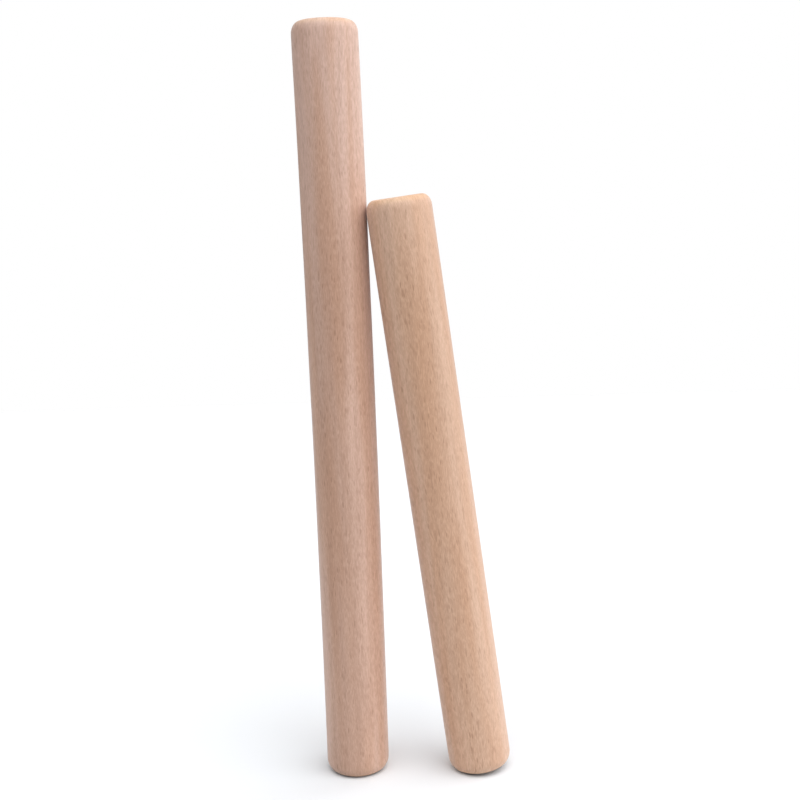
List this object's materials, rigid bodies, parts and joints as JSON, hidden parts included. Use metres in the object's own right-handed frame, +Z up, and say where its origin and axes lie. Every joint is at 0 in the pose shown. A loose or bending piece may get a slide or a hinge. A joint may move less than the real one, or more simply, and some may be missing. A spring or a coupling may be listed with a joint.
{
  "type": "claves",
  "caption": "Pair of solid turned wooden sticks of one thickness, a long and a short one, struck together for a sharp click; the short one leans on the long one.",
  "frame": {"origin": "centre of the long clave's flat foot, on the surface that the pair stands on", "axes": "+Z up along the long clave's axis; +X from the long clave towards the short clave; +Y by the right-hand rule"},
  "size_m": [0.0737, 0.0284, 0.293],
  "materials": {
    "pinkish_beech": "bare sanded beech, matt, pinkish",
    "golden_beech": "bare sanded beech, matt, slightly more golden"
  },
  "bodies": {
    "long_clave_body": {"long_clave": "pinkish_beech"},
    "short_clave_body": {"short_clave": "golden_beech"}
  },
  "joints": [
    {"name": "strike_stroke", "type": "slide", "parent": "long_clave_body", "child": "short_clave_body", "axis": [1, 0, 0], "range_m": [0, 0.15]}
  ]
}
